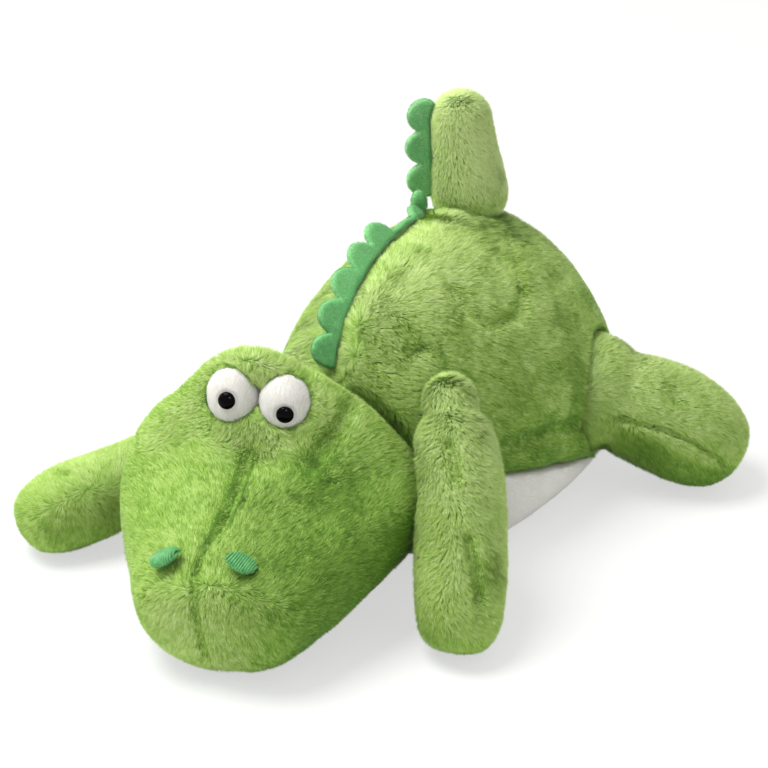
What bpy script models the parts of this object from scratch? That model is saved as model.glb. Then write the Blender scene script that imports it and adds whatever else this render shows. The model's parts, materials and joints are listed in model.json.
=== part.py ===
"""A plush crocodile lying on its belly, in metres, +Z up, facing -Y, with its own left side at +X.

The origin is on the floor under the middle of the belly. Each stuffed piece is one solid that stands
for its cloth and its filling. Head, limbs and tail turn on ball-shaped roots in hollows of their own.
"""

import math

import bmesh
import bpy
from mathutils import Matrix, Vector

# Clearances
SEAM_GAP = 0.0003
SOCKET_GAP = 0.0003
TAIL_SOCKET_GAP = 0.0010
SWING_GAP = 0.0010
WASHER_GAP = 0.0003

# Torso and belly panel
TORSO_FRONT = -0.172
TORSO_BACK = 0.142
TORSO_SIDE = 0.016
TORSO_HALF_WIDTH = 0.115
TORSO_HEIGHT = 0.220
TORSO_WIDEST = 0.34
UNDERSIDE_FLATNESS = 0.55
BACK_NARROWING = 1.32
BELLY_EDGE_HEIGHT = 0.039
BELLY_EDGE_SLOPE = 0.340
BELLY_PANEL_HALF_WIDTH = 0.220
BELLY_PANEL_HALF_LENGTH = 0.122
REST_DEPTH = 0.0005

# Neck and head
NECK_CENTRE = Vector((-0.030, -0.150, 0.090))
NECK_BALL_RADIUS = 0.058
NECK_TURNS = (-12, -5, 2, 9)
HEAD_LENGTH = 0.214
HEAD_HALF_WIDTH = 0.110
HEAD_RISE = 0.042
HEAD_DROP = 0.065
BROW_RISE = 0.0725
BROW_SIDE = -0.008
BROW_HALF_WIDTH = 0.076
HEAD_YAW = math.radians(15)
HEAD_PITCH = math.radians(11)
HEAD_ROLL = math.radians(-5)

# Eyes
EYEBALL_SIZE = Vector((0.0188, 0.0198, 0.0212))
EYE_SPACING = 0.0382
EYE_SIDE = -0.001
EYE_PLACE = 0.22
EYE_DROP = 0.0443
EYE_TILT = 0.0018
PUPIL_RADIUS = 0.0062
PUPIL_DOME = 0.0034
PUPIL_EDGE = 0.0009
STEM_RADIUS = 0.00225
STEM_LENGTH = 0.015
WASHER_RADIUS = 0.0075
WASHER_THICKNESS = 0.002
WASHER_PLACE = 0.009
LEFT_GAZE = (math.radians(12), math.radians(3))
RIGHT_GAZE = (math.radians(-4), math.radians(24))

# Nostrils
NOSTRIL_SIZE = Vector((0.0118, 0.0074, 0.0042))
NOSTRIL_SIDE = 0.027
NOSTRIL_SHIFT = -0.007
NOSTRIL_PLACE = 0.841
NOSTRIL_DROP = 0.006
NOSTRIL_SLOPE = math.radians(24)

# Arms
SHOULDER_BALL_RADIUS = 0.020
SHOULDER_TURNS = (0, 12, 24, 36)
ARM_RADIUS = 0.033
LEFT_SHOULDER = Vector((0.0885, -0.136, 0.1425))
LEFT_ELBOW = Vector((0.1245, -0.178, 0.0945))
LEFT_PAW = Vector((0.144, -0.221, 0.0285))
RIGHT_SHOULDER = Vector((-0.088, -0.126, 0.066))
RIGHT_ELBOW = Vector((-0.136, -0.178, 0.045))
RIGHT_PAW = Vector((-0.178, -0.250, 0.031))

# Hind legs
HIP_BALL_RADIUS = 0.045
HIP_TURNS = (-20, -10, 0, 10, 20)
LEG_RADIUS = 0.043
LEFT_HIP = Vector((0.112, 0.046, 0.074))
LEFT_KNEE = Vector((0.154, 0.060, 0.064))
LEFT_FOOT = Vector((0.193, 0.082, 0.0365))
RIGHT_HIP = Vector((-0.074, 0.092, 0.070))
RIGHT_KNEE = Vector((-0.100, 0.134, 0.058))
RIGHT_FOOT = Vector((-0.114, 0.172, 0.0370))

# Tail
TAIL_SEAT = 0.0035
TAIL_ROOT = Vector((0.006, 0.044, TORSO_HEIGHT - TAIL_SEAT))
TAIL_HEIGHT = 0.081
TAIL_RADIUS = 0.0290
TAIL_TIP_RADIUS = 0.0242
TAIL_LEAN = math.radians(-8.5)

# Scalloped trim
TRIM_THICKNESS = 0.0036
TRIM_BAND = 0.003
TRIM_ROOT = 0.004
SCALLOP_HEIGHT = 0.015
SCALLOP_PITCH = 0.0255
SCALLOP_STEPS = 8
BACK_SCALLOPS = (0.9, 1.0, 1.0, 1.0, 1.0, 0.45)
BACK_TRIM_START = 0.010
BACK_TRIM_BAND = 0.032
BACK_TRIM_PLACE = 0.290
BACK_TRIM_LEAN = math.radians(-50)
TAIL_SCALLOPS = (1.0, 1.0, 0.85)
TAIL_TRIM_START = 0.0015
TAIL_TRIM_SIDE = math.radians(217)

# Facets
TORSO_RING_POINTS = 14
HEAD_RING_POINTS = 14
LIMB_RING_POINTS = 10
FORM_LEVELS = 1
LIMB_LEVELS = 1
NECK_FACETS = 24
ROOT_FACETS = 16
EYE_FACETS = 24
NOSTRIL_FACETS = 16

UP = Vector((0, 0, 1))
LEFT = Vector((1, 0, 0))

GREEN_PLUSH = ("green_plush", (0.30, 0.50, 0.09), 0.9)
WHITE_PLUSH = ("white_plush", (0.78, 0.77, 0.74), 0.9)
TRIM_PLUSH = ("trim_plush", (0.11, 0.47, 0.14), 0.85)
NOSTRIL_THREAD = ("nostril_thread", (0.03, 0.28, 0.08), 0.5)
EYE_PLASTIC = ("eye_plastic", (0.004, 0.004, 0.004), 0.08)
WASHER_PLASTIC = ("washer_plastic", (0.75, 0.75, 0.72), 0.4)

# One row a section, front to back: place along the torso, half width, back and underside, as shares
TORSO_SECTIONS = (
    (0.00, 0.34, 0.52, 0.22),
    (0.035, 0.54, 0.67, 0.10),
    (0.12, 0.77, 0.86, 0.02),
    (0.26, 0.92, 0.98, 0.0),
    (0.44, 1.00, 1.01, 0.0),
    (0.62, 1.01, 0.98, 0.0),
    (0.79, 0.94, 0.89, 0.0),
    (0.93, 0.74, 0.70, 0.06),
    (1.00, 0.38, 0.50, 0.20),
)

# One row a section, back to front: place along the head, half width, rise, drop and brow, as shares
HEAD_SECTIONS = (
    (0.06, 0.68, 1.05, 0.62, 0.45),
    (0.14, 0.96, 1.10, 0.94, 1.05),
    (0.23, 1.04, 1.05, 1.02, 0.92),
    (0.34, 1.04, 1.02, 1.02, 0.16),
    (0.52, 0.91, 0.98, 1.00, 0.0),
    (0.74, 0.69, 0.98, 0.94, 0.0),
    (0.93, 0.53, 0.82, 0.84, 0.0),
    (1.00, 0.30, 0.32, 0.48, 0.0),
)

# One row a section, from the root: place along the limb and thickness, as shares
LEFT_ARM_SECTIONS = ((0.04, 0.66), (0.20, 0.92), (0.40, 1.02), (0.62, 1.00), (0.84, 1.03), (1.03, 0.98), (1.17, 0.62))
RIGHT_ARM_SECTIONS = ((0.04, 0.62), (0.20, 0.76), (0.40, 0.86), (0.62, 0.92), (0.84, 1.02), (1.03, 0.98), (1.17, 0.62))
LEG_SECTIONS = ((0.05, 0.80), (0.34, 1.00), (0.62, 1.02), (0.88, 1.00), (1.12, 0.86), (1.28, 0.50))


def empty_scene():
    for thing in list(bpy.data.objects):
        bpy.data.objects.remove(thing, do_unlink=True)


def new_collection(name):
    collection = bpy.data.collections.new(name)
    bpy.context.scene.collection.children.link(collection)
    return collection


def finish(kind):
    """The material of one kind of cloth, thread or plastic."""
    name, colour, roughness = kind
    material = bpy.data.materials.get(name)
    if material is None:
        material = bpy.data.materials.new(name)
        material.use_nodes = True
        shader = material.node_tree.nodes["Principled BSDF"]
        shader.inputs["Base Color"].default_value = (*colour, 1.0)
        shader.inputs["Roughness"].default_value = roughness
        shader.inputs["Metallic"].default_value = 0.0
    return material


def add_piece(name, shell, kind, frame=None):
    """One piece, drawn in a frame of its own, with its origin on the joint that moves it."""
    bmesh.ops.recalc_face_normals(shell, faces=shell.faces)
    mesh = bpy.data.meshes.new(name)
    shell.to_mesh(mesh)
    shell.free()
    mesh.shade_smooth()
    mesh.materials.append(finish(kind))
    piece = bpy.data.objects.new(name, mesh)
    if frame is not None:
        piece.matrix_world = frame
    PIECES.objects.link(piece)
    return piece


def add_cutter(name, shell, frame=None):
    bmesh.ops.recalc_face_normals(shell, faces=shell.faces)
    mesh = bpy.data.meshes.new(name)
    shell.to_mesh(mesh)
    shell.free()
    cutter = bpy.data.objects.new(name, mesh)
    if frame is not None:
        cutter.matrix_world = frame
    CUTTERS.objects.link(cutter)
    cutter.hide_render = True
    cutter.display_type = "WIRE"
    return cutter


def rounded(thing, levels):
    modifier = thing.modifiers.new("rounding", "SUBSURF")
    modifier.levels = levels
    modifier.render_levels = levels
    return thing


def combine(thing, other, operation):
    modifier = thing.modifiers.new(other.name, "BOOLEAN")
    modifier.operation = operation
    modifier.object = other
    modifier.solver = "EXACT"


def settled(count):
    """How far inside a round cage of this many points its smooth surface lies, as a share."""
    return (2 + math.cos(2 * math.pi / count)) / 3


def section(centre, across, upward, half_width, rise, drop, count, flatness=1.0, narrowing=1.0):
    """One ring of a cage, with its own height above and below the centre.

    A flatness under 1 squares the lower half, and a narrowing over 1 draws the upper half in.
    """
    grow = 1 / settled(count)
    ring = []
    for k in range(count):
        angle = 2 * math.pi * (k + 0.5 * (count % 4 == 2)) / count
        side = math.cos(angle)
        height = math.sin(angle)
        if height < 0:
            side = math.copysign(abs(side) ** flatness, side)
            height = -(abs(height) ** flatness)
        else:
            side = math.copysign(abs(side) ** narrowing, side)
        reach = rise if height > 0 else drop
        ring.append(centre + across * side * half_width * grow + upward * height * reach * grow)
    return ring


def lofted(rings):
    """A closed cage through rings of equal counts, with one face over each end."""
    shell = bmesh.new()
    loops = [[shell.verts.new(point) for point in ring] for ring in rings]
    for first, second in zip(loops, loops[1:]):
        for k in range(len(first)):
            following = (k + 1) % len(first)
            shell.faces.new((first[k], first[following], second[following], second[k]))
    shell.faces.new(loops[0])
    shell.faces.new(loops[-1])
    return shell


def turning_ball(centre, radius, axis, facets, clear=0.0):
    """A sphere with its poles on the axis that it turns about.

    With a clearance it is the hollow for such a sphere. Its flat facets then stand opposite the sphere's
    corners, and clear them.
    """
    shell = bmesh.new()
    drawn = (radius + clear) / math.cos(math.pi / facets) if clear else radius
    bmesh.ops.create_uvsphere(shell, u_segments=facets, v_segments=facets // 2, radius=drawn)
    turn = UP.rotation_difference(axis).to_matrix().to_4x4()
    if clear:
        turn = turn @ Matrix.Rotation(math.pi / facets, 4, "Z")
    bmesh.ops.transform(shell, verts=shell.verts, matrix=Matrix.Translation(centre) @ turn)
    return shell


def turned(outline, facets, closed=False):
    """Half an outline, from the top down, turned once round the Z axis."""
    shell = bmesh.new()
    corners = [shell.verts.new((radius, 0, height)) for radius, height in outline]
    for first, second in zip(corners, corners[1:]):
        shell.edges.new((first, second))
    if closed:
        shell.edges.new((corners[-1], corners[0]))
    bmesh.ops.spin(
        shell,
        geom=shell.verts[:] + shell.edges[:],
        cent=(0, 0, 0),
        axis=UP,
        dvec=(0, 0, 0),
        angle=2 * math.pi,
        steps=facets,
        use_merge=True,
    )
    bmesh.ops.remove_doubles(shell, verts=shell.verts, dist=0.000001)
    return shell


def spline_shares(part):
    """How much each of four neighbouring cage points counts for the smooth surface between the middle two."""
    return (
        (1 - part) ** 3 / 6,
        (3 * part**3 - 6 * part**2 + 4) / 6,
        (-3 * part**3 + 3 * part**2 + 3 * part + 1) / 6,
        part**3 / 6,
    )


def on_form(rings, along, around):
    """The point of the smooth form at a place among its rings and a place among their points."""
    ring = min(int(along), len(rings) - 3)
    point = int(around)
    place = Vector((0, 0, 0))
    for i, ring_share in enumerate(spline_shares(along - ring)):
        for k, point_share in enumerate(spline_shares(around - point)):
            corner = rings[ring - 1 + i][(point - 1 + k) % len(rings[0])]
            place += corner * ring_share * point_share
    return place


def torso_rings():
    rings = []
    for place, width, back, underside in TORSO_SECTIONS:
        top = TORSO_HEIGHT * back
        bottom = TORSO_HEIGHT * underside - REST_DEPTH
        middle = bottom + TORSO_WIDEST * (top - bottom)
        centre = Vector((TORSO_SIDE, TORSO_FRONT + (TORSO_BACK - TORSO_FRONT) * place, middle))
        half_width = TORSO_HALF_WIDTH * width
        rings.append(
            section(
                centre,
                LEFT,
                UP,
                half_width,
                top - middle,
                middle - bottom,
                TORSO_RING_POINTS,
                UNDERSIDE_FLATNESS,
                BACK_NARROWING,
            )
        )
    return rings


def head_frame():
    """The head's own axes: x to its left, y backwards and z up, at the neck."""
    turn = Matrix.Rotation(HEAD_YAW, 4, "Z") @ Matrix.Rotation(HEAD_PITCH, 4, "X")
    turn = turn @ Matrix.Rotation(HEAD_ROLL, 4, "Y")
    return Matrix.Translation(NECK_CENTRE) @ turn


def head_rings():
    rings = []
    for place, width, rise, drop, brow in HEAD_SECTIONS:
        ring = section(
            Vector((0, -HEAD_LENGTH * place, 0)),
            LEFT,
            UP,
            HEAD_HALF_WIDTH * width,
            HEAD_RISE * rise,
            HEAD_DROP * drop,
            HEAD_RING_POINTS,
            flatness=0.8,
        )
        for point in ring:
            if point.z > 0:
                point.z += BROW_RISE * brow * math.exp(-(((point.x - BROW_SIDE) / BROW_HALF_WIDTH) ** 2))
        rings.append(ring)
    return rings


def bent_path(first, middle, last, shares):
    """Points on a curve from the first place to the last that leans towards the middle one."""
    return [
        first * (1 - share) ** 2 + middle * 2 * share * (1 - share) + last * share**2
        for share in shares
    ]


def limb_rings(path, radii):
    """Rings square to a bent path, each with its own radius."""
    rings = []
    for k, radius in enumerate(radii):
        along = (path[min(k + 1, len(path) - 1)] - path[max(k - 1, 0)]).normalized()
        across = along.cross(UP).normalized()
        upward = across.cross(along)
        rings.append(section(path[k], across, upward, radius, radius, radius, LIMB_RING_POINTS))
    return rings


def swung_form(name, rings, frame, clear):
    """A copy of a rounded form, a clearance larger all round, where a joint takes it."""
    form = rounded(add_cutter(name, lofted(rings), frame), FORM_LEVELS)
    swell = form.modifiers.new("clearance", "DISPLACE")
    swell.strength = clear
    swell.mid_level = 0.0
    return form


def swung_heads():
    """The head at steps of its nod."""
    heads = []
    for degrees in NECK_TURNS:
        nod = Matrix.Rotation(math.radians(degrees), 4, -LEFT)
        heads.append(swung_form(f"head_at_{degrees}", head_rings(), head_frame() @ nod, SWING_GAP))
    return heads


def swung_torsos(name, root, axis, turns):
    """The torso as a turning limb meets it, at steps of the limb's turn."""
    torsos = []
    for degrees in turns:
        turn = Matrix.Rotation(math.radians(-degrees), 4, axis)
        frame = Matrix.Translation(root) @ turn @ Matrix.Translation(-root)
        torsos.append(swung_form(f"torso_from_{name}_{degrees}", torso_rings(), frame, SWING_GAP))
    return torsos


def floor_block():
    """Everything under the floor."""
    shell = bmesh.new()
    bmesh.ops.create_cube(shell, size=1.0)
    bmesh.ops.translate(shell, verts=shell.verts, vec=Vector((0, 0, -0.5)))
    return add_cutter("floor_block", shell)


def belly_block(name, raised=0.0):
    """The space of the belly panel: an oval seen from below, under a seam that climbs to the chest."""
    shell = bmesh.new()
    bmesh.ops.create_cone(
        shell, cap_ends=True, segments=48, radius1=1.0, radius2=1.0, depth=1.0
    )
    for vertex in shell.verts:
        place = vertex.co
        top = place.z > 0
        place.x *= BELLY_PANEL_HALF_WIDTH + raised
        place.y *= BELLY_PANEL_HALF_LENGTH + raised
        seam = BELLY_EDGE_HEIGHT - BELLY_EDGE_SLOPE * place.y + raised
        place.z = seam if top else -BELLY_PANEL_HALF_LENGTH
    return add_cutter(name, shell)


def make_torso(heads, floor):
    """The torso, cut back to let the head nod on its neck ball, and the panel let into its underside."""
    torso = rounded(add_piece("torso", lofted(torso_rings()), GREEN_PLUSH), FORM_LEVELS)
    for head in heads:
        combine(torso, head, "DIFFERENCE")
    neck_ball = add_cutter("neck_ball", turning_ball(NECK_CENTRE, NECK_BALL_RADIUS, head_axis(), NECK_FACETS))
    combine(torso, neck_ball, "UNION")
    combine(torso, belly_block("belly_hollow", SEAM_GAP), "DIFFERENCE")
    combine(torso, floor, "DIFFERENCE")
    belly = rounded(add_piece("belly_panel", lofted(torso_rings()), WHITE_PLUSH), FORM_LEVELS)
    combine(belly, belly_block("belly_space"), "INTERSECT")
    combine(belly, floor, "DIFFERENCE")
    return torso, belly


def head_axis():
    """The head nods about the line between its cheeks."""
    return head_frame().to_3x3() @ LEFT


def make_head(floor):
    head = rounded(add_piece("head", lofted(head_rings()), GREEN_PLUSH, head_frame()), FORM_LEVELS)
    shell = turning_ball(NECK_CENTRE, NECK_BALL_RADIUS, head_axis(), NECK_FACETS, SOCKET_GAP)
    combine(head, add_cutter("neck_hollow", shell), "DIFFERENCE")
    combine(head, floor, "DIFFERENCE")
    return head


def eye_frame(side, gaze):
    """An eye's own axes in the head's frame: its centre is the eyeball's and its z is where it looks."""
    turn, lift = gaze
    look = Matrix.Rotation(turn, 4, "Z") @ Matrix.Rotation(math.pi / 2 - lift, 4, "X")
    across = EYE_SIDE + side * EYE_SPACING / 2
    height = HEAD_RISE + BROW_RISE - EYE_DROP - side * EYE_TILT
    return Matrix.Translation((across, -HEAD_LENGTH * EYE_PLACE, height)) @ look


def eyeball_shell(frame, clear=0.0):
    """A ball a little taller than it is wide, with its poles up and down."""
    shell = bmesh.new()
    bmesh.ops.create_uvsphere(shell, u_segments=EYE_FACETS, v_segments=EYE_FACETS // 2, radius=1.0)
    size = EYEBALL_SIZE + Vector((clear, clear, clear))
    place = Matrix.Translation(frame.translation) @ Matrix.Diagonal((*size, 1.0))
    bmesh.ops.transform(shell, verts=shell.verts, matrix=place)
    return shell


def pupil_seat(frame):
    """How far from the eyeball's centre the flat seat of the pupil lies."""
    gaze = frame.to_3x3() @ UP
    reach = 1 / math.sqrt(sum((part / size) ** 2 for part, size in zip(gaze, EYEBALL_SIZE)))
    return math.sqrt(reach**2 - PUPIL_RADIUS**2) - PUPIL_EDGE


def eye_hollow_outline(seat):
    """The pupil's seat, the hole for its stem and the room round the washer."""
    stem_end = seat - STEM_LENGTH
    hole = STEM_RADIUS + SEAM_GAP
    room = WASHER_RADIUS + WASHER_GAP
    return [
        (0.0, seat * 1.3),
        (PUPIL_RADIUS + SEAM_GAP, seat * 1.3),
        (PUPIL_RADIUS + SEAM_GAP, seat),
        (hole, seat),
        (hole, WASHER_PLACE + WASHER_THICKNESS / 2 + WASHER_GAP),
        (room, WASHER_PLACE + WASHER_THICKNESS / 2 + WASHER_GAP),
        (room, WASHER_PLACE - WASHER_THICKNESS / 2 - WASHER_GAP),
        (hole, WASHER_PLACE - WASHER_THICKNESS / 2 - WASHER_GAP),
        (hole, stem_end),
        (0.0, stem_end),
    ]


def pupil_outline(seat):
    """A domed button with a stem behind it."""
    seat += SEAM_GAP
    points = []
    for k in range(6):
        angle = math.radians(90 - 18 * k)
        height = seat + PUPIL_EDGE + PUPIL_DOME * math.sin(angle)
        points.append((PUPIL_RADIUS * math.cos(angle), height))
    points[0] = (0.0, points[0][1])
    points.append((PUPIL_RADIUS, seat))
    points.append((STEM_RADIUS, seat))
    points.append((STEM_RADIUS, seat - STEM_LENGTH))
    points.append((0.0, seat - STEM_LENGTH))
    return points


def washer_outline():
    inside = STEM_RADIUS + WASHER_GAP
    top = WASHER_PLACE + WASHER_THICKNESS / 2
    bottom = WASHER_PLACE - WASHER_THICKNESS / 2
    return [(inside, top), (WASHER_RADIUS, top), (WASHER_RADIUS, bottom), (inside, bottom)]


def make_eye(name, side, gaze, head):
    """A stuffed eyeball let into the head, with a safety eye whose stem is held by a washer inside."""
    frame = eye_frame(side, gaze)
    combine(head, add_cutter(f"{name}_socket", eyeball_shell(frame, SEAM_GAP), head_frame()), "DIFFERENCE")
    eyeball = add_piece(f"{name}_eyeball", eyeball_shell(frame), WHITE_PLUSH, head_frame())
    seat = pupil_seat(frame)
    shell = turned(eye_hollow_outline(seat), EYE_FACETS)
    bmesh.ops.transform(shell, verts=shell.verts, matrix=frame)
    hollow = add_cutter(f"{name}_hollow", shell, head_frame())
    combine(eyeball, hollow, "DIFFERENCE")
    combine(head, hollow, "DIFFERENCE")
    shell = turned(pupil_outline(seat), EYE_FACETS)
    bmesh.ops.transform(shell, verts=shell.verts, matrix=frame)
    add_piece(f"{name}_pupil", shell, EYE_PLASTIC, head_frame())
    shell = turned(washer_outline(), EYE_FACETS, closed=True)
    bmesh.ops.transform(shell, verts=shell.verts, matrix=frame)
    add_piece(f"{name}_eye_washer", shell, WASHER_PLASTIC, head_frame())


def nostril_shell(side, clear=0.0):
    shell = bmesh.new()
    bmesh.ops.create_uvsphere(
        shell, u_segments=NOSTRIL_FACETS, v_segments=NOSTRIL_FACETS // 2, radius=1.0
    )
    size = NOSTRIL_SIZE + Vector((clear, clear, clear))
    across = NOSTRIL_SHIFT + side * NOSTRIL_SIDE
    place = Matrix.Translation((across, -HEAD_LENGTH * NOSTRIL_PLACE, HEAD_RISE - NOSTRIL_DROP))
    slope = Matrix.Rotation(side * NOSTRIL_SLOPE, 4, "Y")
    bmesh.ops.transform(shell, verts=shell.verts, matrix=place @ slope @ Matrix.Diagonal((*size, 1.0)))
    return shell


def make_nostril(name, side, head):
    combine(head, add_cutter(f"{name}_bed", nostril_shell(side, SEAM_GAP), head_frame()), "DIFFERENCE")
    add_piece(name, nostril_shell(side), NOSTRIL_THREAD, head_frame())


def make_limb(name, path_points, sections, radius, ball_radius, axis, turns, body, heads, floor):
    """A stuffed limb on a ball-shaped root, cut back where the torso and the head press on it."""
    root = path_points[0]
    path = bent_path(*[point - root for point in path_points], [share for share, _ in sections])
    rings = limb_rings(path, [radius * thickness for _, thickness in sections])
    frame = Matrix.Translation(root)
    limb = rounded(add_piece(name, lofted(rings), GREEN_PLUSH, frame), LIMB_LEVELS)
    for form in swung_torsos(name, root, axis, turns) + list(heads):
        combine(limb, form, "DIFFERENCE")
    shell = turning_ball(Vector(), ball_radius, UP, ROOT_FACETS)
    combine(limb, add_cutter(f"{name}_root", shell, frame), "UNION")
    combine(limb, floor, "DIFFERENCE")
    shell = turning_ball(Vector(), ball_radius, UP, ROOT_FACETS, SOCKET_GAP)
    hollow = add_cutter(f"{name}_hollow", shell, frame)
    for part in body:
        combine(part, hollow, "DIFFERENCE")
    return limb


def tail_frame():
    return Matrix.Translation(TAIL_ROOT) @ Matrix.Rotation(TAIL_LEAN, 4, "Y")


def tail_outline(clear=0.0):
    """Half of the tail's outline from the rounded tip down, and round the ball at its root."""
    points = []
    tip_centre = TAIL_HEIGHT - TAIL_TIP_RADIUS
    tip_radius = TAIL_TIP_RADIUS + clear
    for k in range(6):
        angle = math.radians(90 - 15 * k)
        points.append((tip_radius * math.cos(angle), tip_centre + tip_radius * math.sin(angle)))
    points.append((tip_radius, tip_centre))
    root_radius = TAIL_RADIUS + clear
    points.append((root_radius, 0.0))
    for k in range(1, 7):
        angle = math.radians(-90 * k / 6)
        points.append((root_radius * math.cos(angle), root_radius * math.sin(angle)))
    points[0] = (0.0, points[0][1])
    points[-1] = (0.0, points[-1][1])
    return points


def make_tail(torso):
    tail = add_piece("tail", turned(tail_outline(), ROOT_FACETS), GREEN_PLUSH, tail_frame())
    hollow = turning_ball(TAIL_ROOT, TAIL_RADIUS, LEFT, ROOT_FACETS, TAIL_SOCKET_GAP)
    combine(torso, add_cutter("tail_hollow", hollow), "DIFFERENCE")
    return tail


def scalloped_edge(scallops, band):
    """Distances along a trim and its height at each, petal by petal, with a plain band before the last."""
    edge = []
    start = 0.0
    for number, share in enumerate(scallops):
        if band and number == len(scallops) - 1:
            edge.append((start, TRIM_BAND))
            edge.append((start + band / 2, TRIM_BAND))
            start += band
        for step in range(SCALLOP_STEPS):
            angle = math.pi * step / SCALLOP_STEPS
            distance = start + share * SCALLOP_PITCH * (1 - math.cos(angle)) / 2
            edge.append((distance, TRIM_BAND + share * SCALLOP_HEIGHT * math.sin(angle)))
        start += share * SCALLOP_PITCH
    edge.append((start, TRIM_BAND))
    return edge


def spaced(line, distances):
    """The points at these distances along a line of close points."""
    points = []
    walked = 0.0
    k = 0
    for distance in distances:
        while k < len(line) - 2 and walked + (line[k + 1] - line[k]).length < distance:
            walked += (line[k + 1] - line[k]).length
            k += 1
        step = line[k + 1] - line[k]
        points.append(line[k] + step * ((distance - walked) / step.length))
    return points


def trim_shell(line, start, scallops, band, side, lean):
    """A flat strip that stands on a line, with its root sunk in the form under it."""
    edge = scalloped_edge(scallops, band)
    points = spaced(line, [start + distance for distance, _ in edge])
    rings = []
    for k, (point, (_, height)) in enumerate(zip(points, edge)):
        along = (points[min(k + 1, len(points) - 1)] - points[max(k - 1, 0)]).normalized()
        upward = Matrix.Rotation(lean, 3, along) @ side.cross(along).normalized()
        across = along.cross(upward) * (TRIM_THICKNESS / 2)
        low = point - upward * TRIM_ROOT
        high = point + upward * height
        rings.append([low - across, low + across, high + across, high - across])
    return lofted(rings)


def make_back_trim(heads):
    """The scalloped strip sewn along the back, cut to the shape of the back with a gap."""
    rings = torso_rings()
    steps = 200
    span = len(rings) - 3
    around = BACK_TRIM_PLACE * TORSO_RING_POINTS - 0.5
    line = [on_form(rings, 1 + span * k / steps, around) for k in range(steps)]
    shell = trim_shell(line, BACK_TRIM_START, BACK_SCALLOPS, BACK_TRIM_BAND, LEFT, BACK_TRIM_LEAN)
    trim = add_piece("back_trim", shell, TRIM_PLUSH)
    combine(trim, swung_form("back_trim_bed", rings, Matrix(), SEAM_GAP), "DIFFERENCE")
    shell = turning_ball(NECK_CENTRE, NECK_BALL_RADIUS, head_axis(), NECK_FACETS, SEAM_GAP)
    combine(trim, add_cutter("back_trim_neck", shell), "DIFFERENCE")
    for head in heads:
        combine(trim, head, "DIFFERENCE")
    return trim


def make_tail_trim():
    """The same strip up the side of the tail."""
    outward = Vector((math.cos(TAIL_TRIM_SIDE), math.sin(TAIL_TRIM_SIDE), 0))
    line = [outward * radius + UP * height for radius, height in reversed(tail_outline()[:8])]
    shell = trim_shell(line, TAIL_TRIM_START, TAIL_SCALLOPS, 0.0, UP.cross(outward), 0.0)
    trim = add_piece("tail_trim", shell, TRIM_PLUSH, tail_frame())
    bed = add_cutter("tail_trim_bed", turned(tail_outline(SEAM_GAP), ROOT_FACETS), tail_frame())
    combine(trim, bed, "DIFFERENCE")
    return trim


empty_scene()
PIECES = new_collection("plush_crocodile")
CUTTERS = new_collection("cutters")
FLOOR = floor_block()
HEADS = swung_heads()
TORSO, BELLY = make_torso(HEADS, FLOOR)
HEAD = make_head(FLOOR)
make_eye("left", 1, LEFT_GAZE, HEAD)
make_eye("right", -1, RIGHT_GAZE, HEAD)
make_nostril("left_nostril", 1, HEAD)
make_nostril("right_nostril", -1, HEAD)
make_limb(
    "left_arm",
    (LEFT_SHOULDER, LEFT_ELBOW, LEFT_PAW),
    LEFT_ARM_SECTIONS,
    ARM_RADIUS,
    SHOULDER_BALL_RADIUS,
    UP,
    SHOULDER_TURNS,
    (TORSO, BELLY),
    HEADS,
    FLOOR,
)
make_limb(
    "right_arm",
    (RIGHT_SHOULDER, RIGHT_ELBOW, RIGHT_PAW),
    RIGHT_ARM_SECTIONS,
    ARM_RADIUS,
    SHOULDER_BALL_RADIUS,
    -UP,
    SHOULDER_TURNS,
    (TORSO, BELLY),
    HEADS,
    FLOOR,
)
make_limb(
    "left_hind_leg",
    (LEFT_HIP, LEFT_KNEE, LEFT_FOOT),
    LEG_SECTIONS,
    LEG_RADIUS,
    HIP_BALL_RADIUS,
    UP,
    HIP_TURNS,
    (TORSO, BELLY),
    (),
    FLOOR,
)
make_limb(
    "right_hind_leg",
    (RIGHT_HIP, RIGHT_KNEE, RIGHT_FOOT),
    LEG_SECTIONS,
    LEG_RADIUS,
    HIP_BALL_RADIUS,
    -UP,
    HIP_TURNS,
    (TORSO, BELLY),
    (),
    FLOOR,
)
make_tail(TORSO)
make_back_trim(HEADS)
make_tail_trim()
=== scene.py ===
import json
import math
import bpy
import bmesh
import numpy as np
from mathutils import Matrix, Vector


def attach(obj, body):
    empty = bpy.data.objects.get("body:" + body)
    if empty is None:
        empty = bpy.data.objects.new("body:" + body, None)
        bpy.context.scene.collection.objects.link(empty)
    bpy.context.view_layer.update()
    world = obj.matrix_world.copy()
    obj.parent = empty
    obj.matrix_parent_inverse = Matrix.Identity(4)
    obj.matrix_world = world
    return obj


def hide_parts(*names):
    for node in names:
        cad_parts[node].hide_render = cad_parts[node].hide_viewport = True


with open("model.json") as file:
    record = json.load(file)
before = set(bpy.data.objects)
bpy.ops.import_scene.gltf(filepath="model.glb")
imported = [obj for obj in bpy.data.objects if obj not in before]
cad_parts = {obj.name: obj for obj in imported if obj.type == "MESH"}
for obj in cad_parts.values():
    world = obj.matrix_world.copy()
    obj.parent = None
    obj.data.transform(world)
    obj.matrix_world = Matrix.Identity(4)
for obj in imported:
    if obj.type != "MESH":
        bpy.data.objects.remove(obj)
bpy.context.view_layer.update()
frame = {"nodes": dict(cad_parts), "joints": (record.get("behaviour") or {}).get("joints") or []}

# Camera, floor and lamps. The toy lies on a white sweep and is seen from its front left, from well above.
# A wide overhead lamp does most of the lighting, with a weak one beyond its right side for the pale edges
# and a small one at the front that leaves the spot in each pupil and adds a gloss, but no even light.


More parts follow.
